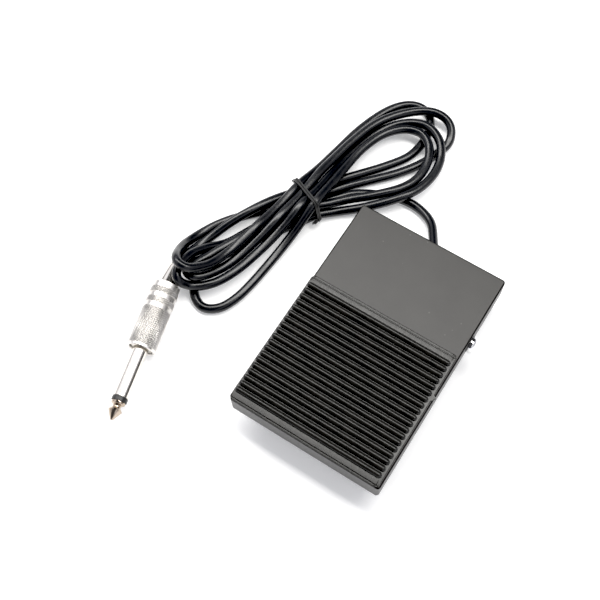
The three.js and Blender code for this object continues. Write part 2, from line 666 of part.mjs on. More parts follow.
function innerWire(side, terminalY) {
    const start = [side * 0.9, 33.7, CABLE.exitHeight];
    const end = [SWITCH_MIDDLE - 1.9, terminalY, SWITCH.bottom - 2.2];
    const bend = [side * 0.9 + 2, 24 + side * 2, 6];
    const approach = [SWITCH.left - 4, terminalY + 3 - side, 5.6];
    return tube([start, bend, approach, end].map(vector), 0.6, 6, 2.5);
}

function addCable() {
    const centre = cableCentre();
    addMesh('cable', tube(centre, CABLE.radius, CABLE.sides, CABLE.step), CABLE_PVC);
    addMesh('cable_tie', cableTie(centre), BLACK_PLASTIC);
    addMesh('cable_grommet', cableGrommet(), RUBBER);
    addMesh('cable_clamp', cableClamp(), NYLON);
    addMesh('clamp_screw', floorScrew(CLAMP.screwX, CLAMP.y, FLOOR_TOP + 1.6), STEEL);
    addMesh('signal_wire', innerWire(1, SWITCH.front + 6.4), RED_WIRE);
    addMesh('ground_wire', innerWire(-1, SWITCH.front + 1.3), BLACK_PLASTIC);
}

// ---------------------------------------------------------------- plug

// Every piece is turned about the plug's own +Y axis, which runs from the tip to the cable.
function plugTip() {
    return turned([
        [0, 0], [0.7, 0.1], [2.9, 4], [1.7, 5.6], [1.9, 6.4], [2.9, 7], [2.9, 8],
        [0.9, 8], [0.9, 36], [0, 36],
    ]);
}

function plugTube(inner, outer, from, to) {
    return turned([[inner, from], [outer, from], [outer, to], [inner, to], [inner, from]]);
}

function plugSleeve() {
    const bore = 2.2;
    return turned([
        [bore, 10], [PLUG.sleeve, 10], [PLUG.sleeve, 32.3], [4.6, 32.3], [4.6, 38], [bore, 38], [bore, 10],
    ]);
}

// The barrel has a knurled grip, then three grooves before its rear end.
function plugBarrel() {
    const outer = PLUG.barrel;
    const groove = outer - 0.45;
    const profile = [[5, 31.5], [outer - 0.3, 31.5], [outer, 31.8]];
    for (const start of [49.6, 54.2, 58.8]) {
        profile.push([outer, start], [groove, start], [groove, start + 2], [outer, start + 2]);
    }
    profile.push([outer, 61.6], [4.7, 61.6], [4.7, 60.2], [5, 60.2], [5, 31.5]);
    return turned(profile);
}

// The neck is held in the barrel by its front flange and widens again behind the barrel.
function plugNeck() {
    const bore = CABLE.radius + FIT;
    const waist = 4.1;
    return turned([
        [bore, 58], [4.7, 58], [4.7, 59.9], [waist, 60], [waist, NECK.start], [NECK.wide, NECK.start],
        [NECK.narrow, NECK.end], [bore, NECK.end], [bore, 58],
    ]);
}

function groundLug() {
    return join(
        block(3.2, 3.8, 38.1, 52, -1.5, 1.5),
        cut(rod('y', 3.2, 52, 56, 0, 0, 16), rod('y', 2.5, 51, 57, 0, 0, 16)),
        block(2.7, 3.8, 51, 53.4, -1.5, 1.5),
    );
}

function addPlug() {
    const plug = new THREE.Group();
    plug.position.set(PLUG.x, PLUG.y, PLUG.z);
    plug.rotation.z = THREE.MathUtils.degToRad(PLUG.turn);
    pedal.add(plug);
    addMesh('plug_tip', plugTip(), NICKEL, plug);
    addMesh('plug_insulator_ring', plugTube(1.2, PLUG.sleeve, 8.1, 9.9), BLACK_PLASTIC, plug);
    addMesh('plug_inner_insulator', plugTube(1.2, 1.9, 10.1, 34), NYLON, plug);
    addMesh('plug_sleeve', plugSleeve(), NICKEL, plug);
    addMesh('plug_barrel', plugBarrel(), NICKEL, plug);
    addMesh('plug_neck', plugNeck(), NICKEL, plug);
    addMesh('plug_liner', plugTube(4.2, 4.6, 38.3, 57.7), NYLON, plug);
    addMesh('plug_ground_lug', groundLug(), STEEL, plug);
    addMesh('plug_signal_wire', rod('y', 0.6, 36.3, 53.7, 0, 0, 8), RED_WIRE, plug);
}

// ---------------------------------------------------------------- assembly

addBase();
addTreadle();
addSpring();
addSwitch();
addCable();
addPlug();

export default pedal;
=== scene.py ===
"""Looks for the sustain pedal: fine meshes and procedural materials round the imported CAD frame.

Everything is in metres in the frame's own axes: +Z up, +Y to the rear of the pedal, the floor at z = 0.
The object's lengths are written in millimetres and turned into metres with MM. The plug's outlines and the
camera's place stay in millimetres until they are used.
"""

import json
import math

import bmesh
import bpy
import numpy as np
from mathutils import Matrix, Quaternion, Vector


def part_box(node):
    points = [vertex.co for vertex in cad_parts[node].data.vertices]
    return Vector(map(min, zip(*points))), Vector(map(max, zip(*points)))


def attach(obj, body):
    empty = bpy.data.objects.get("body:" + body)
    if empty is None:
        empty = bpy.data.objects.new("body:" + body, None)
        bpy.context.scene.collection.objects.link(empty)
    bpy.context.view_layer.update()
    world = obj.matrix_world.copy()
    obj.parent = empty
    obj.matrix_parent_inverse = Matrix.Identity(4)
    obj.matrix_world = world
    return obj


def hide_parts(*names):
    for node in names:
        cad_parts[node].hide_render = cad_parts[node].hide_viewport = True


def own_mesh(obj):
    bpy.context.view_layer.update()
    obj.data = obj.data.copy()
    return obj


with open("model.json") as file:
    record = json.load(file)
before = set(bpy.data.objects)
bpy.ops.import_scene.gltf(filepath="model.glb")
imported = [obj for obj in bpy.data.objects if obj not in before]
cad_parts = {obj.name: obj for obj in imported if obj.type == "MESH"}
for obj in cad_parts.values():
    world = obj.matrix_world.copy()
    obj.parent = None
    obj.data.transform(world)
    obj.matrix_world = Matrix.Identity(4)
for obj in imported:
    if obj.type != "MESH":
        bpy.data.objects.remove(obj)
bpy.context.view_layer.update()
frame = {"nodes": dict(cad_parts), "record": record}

MM = 0.001
NODES = frame["nodes"]
RIGHT = Vector((1, 0, 0))
UP = Vector((0, 0, 1))

SAME_POINT = 1e-7               # points of a new mesh that are closer than this are one
SAME_CAD_POINT = 1e-6           # and points of a CAD mesh
SMOOTH_ANGLE = math.radians(38)

SHEET = 1.2 * MM                # thickness of the folded steel
COVER_BEND = 0.8 * MM           # outer radius of the folds along the lid's edges
COVER_CORNER = 1.3 * MM         # outer radius of the lid's upright corners

MAT_BASE = 0.9 * MM             # thickness of the mat between its ribs
MAT_CORNER = 1.8 * MM
MAT_SIDE_SLOPE = 0.22 * MM      # width of the slope along the mat's left and right edges
MAT_FRONT_SCALE = 0.6           # the front edge's steps are narrower than the rear edge's
RIB_HALF = 1.32 * MM            # half width of a rib at its foot
RIB_HEIGHT = 1.3 * MM
RIB_PITCH = 2.88 * MM
RIB_COUNT = 19
RIB_LEFT_MARGIN = 0.3 * MM      # from the mat's left edge to the ribs' ends
RIB_RIGHT_MARGIN = 0.9 * MM
RIB_END_WIDTH = 0.35            # a rib's very end keeps this share of its width
REAR_STRIP = 4.95 * MM          # from the mat's rear edge to the first rib's crest
NUB_FROM_REAR = 20.3 * MM       # the moulding nub on the mat's right edge
NUB_HALF = 1.5 * MM
NUB_REACH = 1.4 * MM

CABLE_SIDES = 24
CABLE_STEP = 0.8 * MM
TIE_THICKNESS = 0.8 * MM

KNURL_PITCH = 1.0 * MM
KNURL_DEPTH = 0.27 * MM
KNURL_STEEPNESS = 1.35          # over 1, so that the teeth have flat tops
KNURL_DETAIL = 8                # columns and rows of points for each tooth
KNURL_ANGLE = math.radians(14)  # the knurl's edges stay crisp from here up
KNURL_BANDS = ((1.3, 18), (20.2, 22.6), (24.8, 27.2))   # millimetres from the barrel's front end
GROOVE_DEPTH = 0.3 * MM         # of the smooth grooves behind the knurled bands
GROOVE_SHADE = 0.5              # their depth attribute, which is 1 at the knurl's deepest places; it sets their painted shade

BLACK_LEVEL = 0.012
FLOOR_HALF = 6.0                # metres from the middle of the floor to its sides
FLOOR_GLOW = 0.3                # the floor gives off a little light, which keeps its shadows pale


# ------------------------------------------------------------------ reading the frame

def node_points(name):
    """A CAD node's corner points, each of them once."""
    mesh = NODES[name].data
    points = np.empty(len(mesh.vertices) * 3)
    mesh.vertices.foreach_get("co", points)
    return np.unique(np.round(points.reshape(-1, 3), decimals=7), axis=0)


def plug_axis():
    """The plug's tip end and the direction from its tip to the cable.

    The insulator ring and the neck both lie evenly round the axis.
    """
    ring = node_points("plug_insulator_ring").mean(axis=0)
    neck = node_points("plug_neck").mean(axis=0)
    direction = (neck - ring) / np.linalg.norm(neck - ring)
    along = (node_points("plug_tip") - ring) @ direction
    return Vector(ring + direction * along.min()), Vector(direction)


PLUG_START, PLUG_DIRECTION = plug_axis()


def span_on_plug(name):
    """(nearest, furthest) distance of a node from the plug's tip end, along the plug."""
    along = (node_points(name) - np.array(PLUG_START)) @ np.array(PLUG_DIRECTION)
    return along.min(), along.max()


def span_in_mm(name):
    return [distance / MM for distance in span_on_plug(name)]


# ------------------------------------------------------------------ shader tools

class Nodes:
    """Short ways to add and join the nodes of a material or a world."""

    def __init__(self, tree):
        self.tree = tree

    def add(self, kind, **settings):
        node = self.tree.nodes.new(kind)
        for key, value in settings.items():
            setattr(node, key, value)
        return node

    def link(self, source, target):
        self.tree.links.new(source, target)

    def ramp(self, value, *stops):
        """stops are (position, colour or grey value)."""
        ramp = self.add("ShaderNodeValToRGB")
        elements = ramp.color_ramp.elements
        while len(elements) < len(stops):
            elements.new(0.5)
        for element, (position, colour) in zip(elements, stops):
            element.position = position
            element.color = (*colour, 1.0) if isinstance(colour, tuple) else (colour, colour, colour, 1.0)
        self.link(value, ramp.inputs["Fac"])
        return ramp.outputs["Color"]

    def combine(self, kind, operation, *operands):
        """The result of a math node. An operand is another node's output or a number."""
        node = self.add(kind, operation=operation)
        for socket, operand in zip(node.inputs, operands):
            if isinstance(operand, bpy.types.NodeSocket):
                self.link(operand, socket)
            else:
                socket.default_value = operand
        return node.outputs[0]

    def numbers(self, operation, *operands):
        return self.combine("ShaderNodeMath", operation, *operands)

    def colours(self, operation, *operands):
        return self.combine("ShaderNodeVectorMath", operation, *operands)


class Look(Nodes):
    """A node material. Its texture space is the object's own, which is the frame in metres."""

    def __init__(self, name):
        self.material = bpy.data.materials.new(name)
        self.material.use_nodes = True
        super().__init__(self.material.node_tree)
        self.shader = self.tree.nodes["Principled BSDF"]
        self.place = self.add("ShaderNodeTexCoord").outputs["Object"]

    def set(self, **values):
        for key, value in values.items():
            self.shader.inputs[key.replace("_", " ")].default_value = value
        return self

    def stretched(self, scale, turn):
        """The texture space, scaled and turned about the upright axis."""
        mapping = self.add("ShaderNodeMapping")
        mapping.inputs["Scale"].default_value = scale
        mapping.inputs["Rotation"].default_value = (0, 0, turn)
        self.link(self.place, mapping.inputs["Vector"])
        return mapping.outputs["Vector"]

    def noise(self, size, detail=3.0, place=None):
        """Noise whose blotches are about size metres across, from 0 to 1."""
        texture = self.add("ShaderNodeTexNoise")
        texture.inputs["Scale"].default_value = 1.0 / size
        texture.inputs["Detail"].default_value = detail
        self.link(place or self.place, texture.inputs["Vector"])
        return texture.outputs["Fac"]

    def colour(self, value, low, high):
        """Runs from one colour or grey to another over the middle part of value."""
        self.link(self.ramp(value, (0.3, low), (0.7, high)), self.shader.inputs["Base Color"])
        return self

    def roughness(self, value, low, high):
        self.link(self.ramp(value, (0.25, low), (0.75, high)), self.shader.inputs["Roughness"])
        return self

    def slope(self):
        """How far a face points up: 0 on an upright side and 1 on a level top."""
        split = self.add("ShaderNodeSeparateXYZ")
        self.link(self.add("ShaderNodeNewGeometry").outputs["Normal"], split.inputs[0])
        return split.outputs["Z"]

    def shine_by_slope(self, *stops):
        """stops are (slope, specular level)."""
        self.link(self.ramp(self.slope(), *stops), self.shader.inputs["Specular IOR Level"])
        return self

    def over_colour(self, operation, layer):
        """Adds layer to the colour so far, or multiplies by it."""
        target = self.shader.inputs["Base Color"]
        self.link(self.colours(operation, target.links[0].from_socket, layer), target)
        return self

    def shade_by_slope(self, *stops):
        """Painted shade by slope: stops are (slope, what the colour is multiplied by)."""
        return self.over_colour("MULTIPLY", self.ramp(self.slope(), *stops))

    def shade_by_depth(self, deepest):
        """Painted shade in hollows: multiplies the colour by deepest where the mesh's depth attribute is
        high.
        """
        depth = self.add("ShaderNodeAttribute", attribute_name="depth").outputs["Fac"]
        return self.over_colour("MULTIPLY", self.ramp(depth, (0.25, 1.0), (0.9, deepest)))

    def specks(self, spacing, size, grey):
        """Adds pale specks to the colour, one in each cell of about spacing metres."""
        cells = self.add("ShaderNodeTexVoronoi")
        cells.inputs["Scale"].default_value = 1.0 / spacing
        self.link(self.place, cells.inputs["Vector"])
        edge = size / spacing
        core = 0.6 * edge
        return self.over_colour("ADD", self.ramp(cells.outputs["Distance"], (core, grey), (edge, 0.0)))

    def bump(self, *layers):
        """layers are (value, height in metres), added one over the other."""
        normal = None
        for value, height in layers:
            bump = self.add("ShaderNodeBump")
            bump.inputs["Strength"].default_value = 1.0
            bump.inputs["Distance"].default_value = height
            self.link(value, bump.inputs["Height"])
            if normal is not None:
                self.link(normal, bump.inputs["Normal"])
            normal = bump.outputs["Normal"]
        self.link(normal, self.shader.inputs["Normal"])
        return self


# ------------------------------------------------------------------ materials

def black_paint():
    """Semi-gloss black paint on folded steel: fine orange peel, faint rubbing marks and dust specks.

    The folds, which lie between the upright skirts and the level top, are duller than both, and their colour
    is darkened with painted shade.
    """
    skirt, fold_foot, fold_crest, top = 0.08, 0.25, 0.93, 0.985
    look = Look("black_paint").shine_by_slope((skirt, 0.8), (fold_foot, 0.04), (fold_crest, 0.04), (top, 0.5))
    rubbed = look.noise(1.1 * MM, 4, look.stretched((1.0, 9.0, 1.0), math.radians(12)))
    look.colour(look.noise(14 * MM, 5), (0.017, 0.016, 0.0145), (0.022, 0.021, 0.019))
    # painted shade: the folds' colour is multiplied down to a fifth, for the dark lines that their curve
    # shows under the lights
    look.shade_by_slope((skirt, 1), (fold_foot, 0.2), (fold_crest, 0.2), (top, 1))
    look.specks(spacing=5 * MM, size=0.3 * MM, grey=0.05)
    look.roughness(rubbed, 0.38, 0.51)
    return look.bump((look.noise(0.45 * MM, 2), 0.006 * MM), (rubbed, 0.007 * MM)).material


def grip_rubber():
    """Worn moulded rubber: almost black, shiny on its flats, with smeared dull patches."""
    look = Look("grip_rubber").shine_by_slope((0.1, 0.08), (0.4, 0.33))
    smears = look.noise(1.6 * MM, 5, look.stretched((1.0, 0.35, 1.0), math.radians(40)))
    look.colour(look.noise(5 * MM, 4), (0.006, 0.006, 0.0055), (0.014, 0.0135, 0.012))
    look.roughness(smears, 0.2, 0.3)
    return look.bump((look.noise(0.35 * MM, 3), 0.006 * MM), (smears, 0.006 * MM)).material


def sole_rubber():
    look = Look("sole_rubber")
    look.colour(look.noise(3 * MM, 4), 0.012, 0.024)
    look.roughness(look.noise(1 * MM), 0.65, 0.85)
    return look.bump((look.noise(0.5 * MM, 3), 0.03 * MM)).material


def cable_pvc():
    """Glossy black PVC with slightly wavy skin."""
    look = Look("cable_pvc").set(Specular_IOR_Level=0.42)
    look.colour(look.noise(6 * MM, 3), (0.003, 0.0035, 0.005), (0.005, 0.006, 0.008))
    look.roughness(look.noise(2.5 * MM, 4), 0.19, 0.3)
    return look.bump((look.noise(1.2 * MM, 2), 0.012 * MM)).material


def black_plastic():
    look = Look("black_plastic")
    look.colour(look.noise(4 * MM), 0.010, 0.018)
    look.roughness(look.noise(1.5 * MM), 0.32, 0.48)
    return look.bump((look.noise(0.4 * MM, 2), 0.006 * MM)).material


def bright_metal(name, low, high, rough, marks, painted_hollow_shade=1.0):
    """Plated metal, coloured from low to high, with a roughness about rough.

    Its turning marks are marks metres high. A last argument below 1 paints shade into the mesh's deep places,
    by their depth attribute.
    """
    look = Look(name).set(Metallic=1.0)
    look.colour(look.noise(3 * MM, 4), low, high)
    if painted_hollow_shade < 1:
        look.shade_by_depth(painted_hollow_shade)
    look.roughness(look.noise(0.8 * MM, 4), rough * 0.8, rough * 1.3)
    return look.bump((look.noise(0.25 * MM, 3), marks)).material


def nylon():
    look = Look("nylon").set(Subsurface_Weight=0.15, Subsurface_Scale=0.5 * MM)
    look.colour(look.noise(4 * MM), (0.72, 0.69, 0.60), (0.80, 0.77, 0.69))
    look.roughness(look.noise(1 * MM), 0.45, 0.6)
    return look.bump((look.noise(0.5 * MM, 2), 0.008 * MM)).material


def red_plastic():
    look = Look("red_plastic")
    look.colour(look.noise(3 * MM), (0.36, 0.020, 0.014), (0.46, 0.028, 0.020))
    look.roughness(look.noise(1 * MM), 0.35, 0.5)
    return look.bump((look.noise(0.5 * MM, 2), 0.006 * MM)).material


LOOKS = {
    "black_paint": black_paint(),
    "grip_rubber": grip_rubber(),
    "sole_rubber": sole_rubber(),
    "cable_pvc": cable_pvc(),
    "black_plastic": black_plastic(),
    "nylon": nylon(),
    "red_plastic": red_plastic(),
    "chrome": bright_metal("chrome", (0.66, 0.66, 0.66), (0.72, 0.72, 0.72), 0.08, 0.0005 * MM),
    "nickel": bright_metal("nickel", (0.70, 0.67, 0.62), (0.78, 0.75, 0.70), 0.14, 0.001 * MM),
    "steel": bright_metal("steel", (0.42, 0.41, 0.40), (0.52, 0.51, 0.50), 0.35, 0.002 * MM),
    "brass": bright_metal("brass", (0.62, 0.42, 0.16), (0.72, 0.50, 0.22), 0.28, 0.002 * MM),
}
SLOT_OF_NODE = {part["node"]: part["material_slot"] for part in frame["record"]["subparts"]}


# ------------------------------------------------------------------ mesh tools

def add_object(name, data):
    thing = bpy.data.objects.new(name, data)
    bpy.context.scene.collection.objects.link(thing)
    return thing


def clean_mesh(name, points, faces):
    """A mesh with its double points joined and its faces pointing out."""
    mesh = bpy.data.meshes.new(name)
    mesh.from_pydata([tuple(point) for point in points], [], faces)
    shape = bmesh.new()
    shape.from_mesh(mesh)
    bmesh.ops.remove_doubles(shape, verts=shape.verts, dist=SAME_POINT)
    bmesh.ops.recalc_face_normals(shape, faces=shape.faces)
    shape.to_mesh(mesh)
    shape.free()
    return mesh


def even_normals(piece):
    modifier = piece.modifiers.new("even_normals", "WEIGHTED_NORMAL")
    modifier.keep_sharp = True


def make_piece(name, points, faces, body, slot, stands_for, sharp=SMOOTH_ANGLE):
    """A closed mesh that rides on a body and stands for a CAD node. Edges over the sharp angle stay crisp."""
    mesh = clean_mesh(name, points, faces)
    mesh.shade_smooth()
    mesh.set_sharp_from_angle(angle=sharp)
    mesh.materials.append(LOOKS[slot])
    piece = add_object(name, mesh)
    even_normals(piece)
    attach(piece, body)
    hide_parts(stands_for)
    return piece


def loft(rings, closed_path=False):
    """Points and faces of a skin over equal rings. An open path gets a cap on each end."""
    count = len(rings[0])
    spans = len(rings) if closed_path else len(rings) - 1
    faces = []
    for row in range(spans):
        here = row * count
        there = (row + 1) % len(rings) * count
        for i in range(count):
            j = (i + 1) % count
            faces.append((here + i, here + j, there + j, there + i))
    if not closed_path:
        faces.append(tuple(reversed(range(count))))
        faces.append(tuple(range((len(rings) - 1) * count, len(rings) * count)))
    return [point for ring in rings for point in ring], faces


def sheet_faces(rows, columns):
    """Faces over a grid of points, and one more face that closes it along its rim."""
    faces = []
    for row in range(rows - 1):
        for i in range(columns - 1):
            corner = row * columns + i
            faces.append((corner, corner + 1, corner + columns + 1, corner + columns))
    last_row = (rows - 1) * columns
    rim = list(range(columns))
    rim += [row * columns + columns - 1 for row in range(1, rows)]
    rim += [last_row + i for i in range(columns - 2, -1, -1)]
    rim += [row * columns for row in range(rows - 2, 0, -1)]
    faces.append(tuple(rim))
    return faces


def round_angles(count):
    """Equal steps once round a circle."""
    return [2 * math.pi * i / count for i in range(count)]


def lathe(profile, start, direction, sides=128):
    """Turns (radius, distance) pairs round an axis. The first and last pairs are on the axis or the same."""
    turn = direction.to_track_quat("Z", "Y")
    angles = round_angles(sides)
    closed = profile[0] == profile[-1]
    rings = []
    for radius, distance in profile[:-1] if closed else profile:
        ring = [Vector((radius * math.cos(a), radius * math.sin(a), distance)) for a in angles]
        rings.append([start + turn @ point for point in ring])
    return loft(rings, closed)


def sweep(path, radius, sides):
    """Points and faces of a round bar along a smooth path, without twist."""
    last = len(path) - 1
    tangents = [(path[min(i + 1, last)] - path[max(i - 1, 0)]).normalized() for i in range(len(path))]
    angles = round_angles(sides)
    across = tangents[0].orthogonal().normalized()
    rings = []
    for place, tangent in zip(path, tangents):
        across = (across - tangent * across.dot(tangent)).normalized()
        up = tangent.cross(across)
        rings.append([place + radius * (across * math.cos(a) + up * math.sin(a)) for a in angles])
    return loft(rings)


def arc(centre, radius, first, last, steps):
    """Points on a circle in a plane, from one angle to another, in degrees."""
    angles = [math.radians(first + (last - first) * i / steps) for i in range(steps + 1)]
    return [(centre[0] + radius * math.cos(a), centre[1] + radius * math.sin(a)) for a in angles]


def rounded_outline(low, high, inset, corner, steps=7):
    """A rectangle between two corners, moved in by inset, with its corners rounded."""
    radius = max(corner - inset, 0.05 * MM)
    x0, x1 = low.x + inset + radius, high.x - inset - radius
    y0, y1 = low.y + inset + radius, high.y - inset - radius
    places = []
    for centre, first in (((x1, y0), -90), ((x1, y1), 0), ((x0, y1), 90), ((x0, y0), 180)):
        places += arc(centre, radius, first, first + 90, steps)
    return places


# ------------------------------------------------------------------ treadle

def drill(piece, start, direction, radius, length):
    """Cuts a round hole through a piece."""
    outline = [(0, 0), (radius, 0), (radius, length), (0, length)]
    points, faces = lathe(outline, start, direction, sides=48)
    cutter = add_object("drill", clean_mesh("drill", points, faces))
    hole = piece.modifiers.new("hole", "BOOLEAN")
    hole.operation = "DIFFERENCE"
    hole.solver = "EXACT"
    hole.object = cutter
    bpy.context.view_layer.update()
    cut_mesh = bpy.data.meshes.new_from_object(piece.evaluated_get(bpy.context.evaluated_depsgraph_get()))
    piece.modifiers.clear()
    piece.data = cut_mesh
    bpy.data.objects.remove(cutter)
    even_normals(piece)


def cover_profile(bottom, top):
    """The folded wall as (inset, height): from the ceiling down, round the lower edge and up to the top."""
    edge = 0.25 * MM
    inner_bend = 0.4 * MM
    below_fold, beyond_fold = 1 * MM, 0.6 * MM
    ceiling = top - SHEET
    profile = [(SHEET + 2 * inner_bend, ceiling), (SHEET + inner_bend, ceiling)]
    profile += [(SHEET, ceiling - inner_bend), (SHEET, bottom + edge), (SHEET - edge, bottom)]
    profile += [(edge, bottom), (0, bottom + edge)]
    profile.append((0, top - COVER_BEND - below_fold))
    profile += arc((COVER_BEND, top - COVER_BEND), COVER_BEND, 180, 90, steps=8)
    profile.append((COVER_BEND + beyond_fold, top))
    return profile


def make_cover():
    """The folded lid: a flat top, four skirts, round folds and the holes for the pivot shaft."""
    low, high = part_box("treadle_cover")
    rings = []
    for inset, height in cover_profile(low.z, high.z):
        outline = rounded_outline(low, high, inset, COVER_CORNER)
        rings.append([(x, y, height) for x, y in outline])
    points, faces = loft(rings)
    cover = make_piece("cover_skin", points, faces, "treadle", "black_paint", "treadle_cover")
    shaft_low, shaft_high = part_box("pivot_shaft")
    hole_gap, overshoot = 0.3 * MM, 1 * MM
    hole = (shaft_high.z - shaft_low.z) / 2 + hole_gap
    axis_y, axis_z = (shaft_low.y + shaft_high.y) / 2, (shaft_low.z + shaft_high.z) / 2
    drill(cover, Vector((low.x - overshoot, axis_y, axis_z)), RIGHT, hole, high.x - low.x + 2 * overshoot)


def mat_columns(left, right):
    """Across the mat: (x, share of a rib's section, share of the base's height)."""
    rib_left, rib_right = left + RIB_LEFT_MARGIN, right - RIB_RIGHT_MARGIN
    slope_foot = 0.7                        # share of the base's height
    crest = np.linspace(rib_left + RIB_HALF, rib_right - RIB_HALF, num=40)[1:-1]
    caps = [(1 - math.cos(a), math.sin(a)) for a in np.linspace(0, math.pi / 2, num=7)]
    columns = [(left, 0, 0), (left, 0, slope_foot), (left + MAT_SIDE_SLOPE, 0, 1)]
    columns += [(rib_left + RIB_HALF * back, share, 1) for back, share in caps]
    columns += [(x, 1, 1) for x in crest]
    columns += [(rib_right - RIB_HALF * back, share, 1) for back, share in reversed(caps)]
    return columns + [(right - MAT_SIDE_SLOPE, 0, 1), (right, 0, slope_foot), (right, 0, 0)]


def rib_section():
    """A half-round rib's section from its rear foot to its front foot, as (rearwards, up)."""
    return [(RIB_HALF * math.cos(a), RIB_HEIGHT * math.sin(a)) for a in np.linspace(0, math.pi, num=15)]


def mat_edge():
    """The mat's stepped edge as (inwards, up): a rounded flange, a groove and the strip's rounded edge."""
    lip, groove = 0.55 * MAT_BASE, 0.35 * MAT_BASE
    upright, round_width = 0.1 * MM, 0.3 * MM
    edge = [(0, 0), (0, upright)]
    for angle in (0.4, 0.8, 1.2, 1.57):
        edge.append((round_width * (1 - math.cos(angle)), upright + (lip - upright) * math.sin(angle)))
    edge += [(1.05 * MM, lip), (1.15 * MM, groove), (1.35 * MM, groove)]
    return edge + [(1.5 * MM, 0.75 * MAT_BASE), (1.65 * MM, 0.95 * MAT_BASE), (1.85 * MM, MAT_BASE)]


def mat_rows(front, rear):
    """Along the mat from its rear: (y, rearwards from y on a rib, height of the base, height of the rib)."""
    rows = [(rear - inwards, 0, up, 0) for inwards, up in mat_edge()]
    first = rear - REAR_STRIP
    last = first - (RIB_COUNT - 1) * RIB_PITCH
    before_first, after_last = 0.02 * MM, 0.1 * MM
    rows.append((first + RIB_HALF + before_first, 0, MAT_BASE, 0))
    for rib in range(RIB_COUNT):
        for rearwards, up in rib_section():
            rows.append((first - rib * RIB_PITCH, rearwards, MAT_BASE, up))
    rows.append((last - RIB_HALF - after_last, 0, MAT_BASE, 0))
    return rows + [(front + inwards * MAT_FRONT_SCALE, 0, up, 0) for inwards, up in reversed(mat_edge())]


def round_corner(x, y, low, high, radius):
    """Pulls a point of a rectangle's outline in, so that the corners are round."""
    dx = max(low.x + radius - x, x - high.x + radius, 0)
    dy = max(low.y + radius - y, y - high.y + radius, 0)
    reach = math.hypot(dx, dy)
    if dx == 0 or dy == 0 or reach <= radius:
        return x, y
    back = 1 - radius / reach
    middle_x, middle_y = (low.x + high.x) / 2, (low.y + high.y) / 2
    return x - math.copysign(dx * back, x - middle_x), y - math.copysign(dy * back, y - middle_y)


def make_mat():
    """The ribbed rubber mat, with stepped edges at its front and rear and a moulding nub on its right."""
    low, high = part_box("grip_mat")
    nub_y = high.y - NUB_FROM_REAR
    nub_zone = 0.25 * MM
    columns, rows = mat_columns(low.x, high.x), mat_rows(low.y, high.y)
    points = []
    for row_y, rearwards, base, rib in rows:
        for column_x, share, level in columns:
            y = row_y + rearwards * max(share, RIB_END_WIDTH)
            x, y = round_corner(column_x, y, low, high, MAT_CORNER)
            if column_x > high.x - nub_zone and abs(y - nub_y) < NUB_HALF:
                x += NUB_REACH * math.cos((y - nub_y) / NUB_HALF * math.pi / 2)
            points.append((x, y, low.z + base * level + rib * math.sqrt(share)))
    faces = sheet_faces(len(rows), len(columns))
    make_piece("ribbed_mat", points, faces, "treadle", "grip_rubber", "grip_mat")


# ------------------------------------------------------------------ base

def pivot_measures(name):
    """The middle of a pivot piece's left face, the piece's radius and its length along the shaft."""
    low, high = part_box(name)
    return Vector((low.x, (low.y + high.y) / 2, (low.z + high.z) / 2)), (high.z - low.z) / 2, high.x - low.x


def make_pivot_dome():
    """The polished domed cap on the right end of the pivot shaft."""
    place, radius, depth = pivot_measures("pivot_cap")
    edge, rim = 0.15 * MM, 0.8 * MM
    profile = [(0, 0), (radius - edge, 0), (radius, edge), (radius, rim)]
    for angle in np.linspace(0, math.pi / 2, 16)[1:]:
        profile.append((radius * math.cos(angle), rim + (depth - rim) * math.sin(angle)))
    profile[-1] = (0, depth)
    points, faces = lathe(profile, place, RIGHT, sides=64)
    make_piece("polished_dome", points, faces, "base", "chrome", "pivot_cap")


def make_retaining_ring():
    """The low ring with a sloped rim on the left end of the pivot shaft."""
    place, outer, depth = pivot_measures("pivot_retaining_ring")
    bore = outer - 1 * MM
    slope, edge = 0.4 * MM, 0.1 * MM
    profile = [(bore, 0), (outer - slope, 0), (outer - slope / 4, depth / 2), (outer, depth - edge)]
    profile += [(outer, depth), (bore, depth), (bore, 0)]
    points, faces = lathe(profile, place, RIGHT, sides=64)
    make_piece("push_on_ring", points, faces, "base", "chrome", "pivot_retaining_ring")


def make_pivot_shaft():
    place, radius, length = pivot_measures("pivot_shaft")
    edge = 0.25 * MM
    profile = [(0, 0), (radius - edge, 0), (radius, edge), (radius, length - edge), (radius - edge, length)]
    points, faces = lathe(profile + [(0, length)], place, RIGHT, sides=48)
    make_piece("round_shaft", points, faces, "base", "steel", "pivot_shaft")


def coil_path(centre, bottom, top):
    """The wire's middle line. The end coils are closed and rise slowly, and the coils between are open."""
    radius = 4 * MM
    turns, steps = 7, 48
    closed_turns = 0.75
    # shares of the height that are gained over the open coils and evenly along the whole wire
    open_rise, even_rise = 0.82, 0.18
    path = []
    for i in range(turns * steps + 1):
        share = i / (turns * steps)
        angle = share * turns * 2 * math.pi
        opened = min(max((share * turns - closed_turns) / (turns - 2 * closed_turns), 0), 1)
        rise = opened * open_rise + share * even_rise
        x, y = centre.x + radius * math.cos(angle), centre.y + radius * math.sin(angle)
        path.append(Vector((x, y, bottom + (top - bottom) * rise)))
    return path


def make_spring():
    """The round-wire return spring, in its rest shape; the real one flattens as the treadle is pressed."""
    low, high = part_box("return_spring")
    guide_low, guide_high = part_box("spring_guide_lower")
    centre = (guide_low + guide_high) / 2
    wire, clearance = 0.5 * MM, 0.1 * MM
    points, faces = sweep(coil_path(centre, low.z + wire, high.z - wire), wire, sides=12)
    spring = make_piece("coil_spring", points, faces, "base", "steel", "return_spring")
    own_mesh(spring)


# ------------------------------------------------------------------ cable

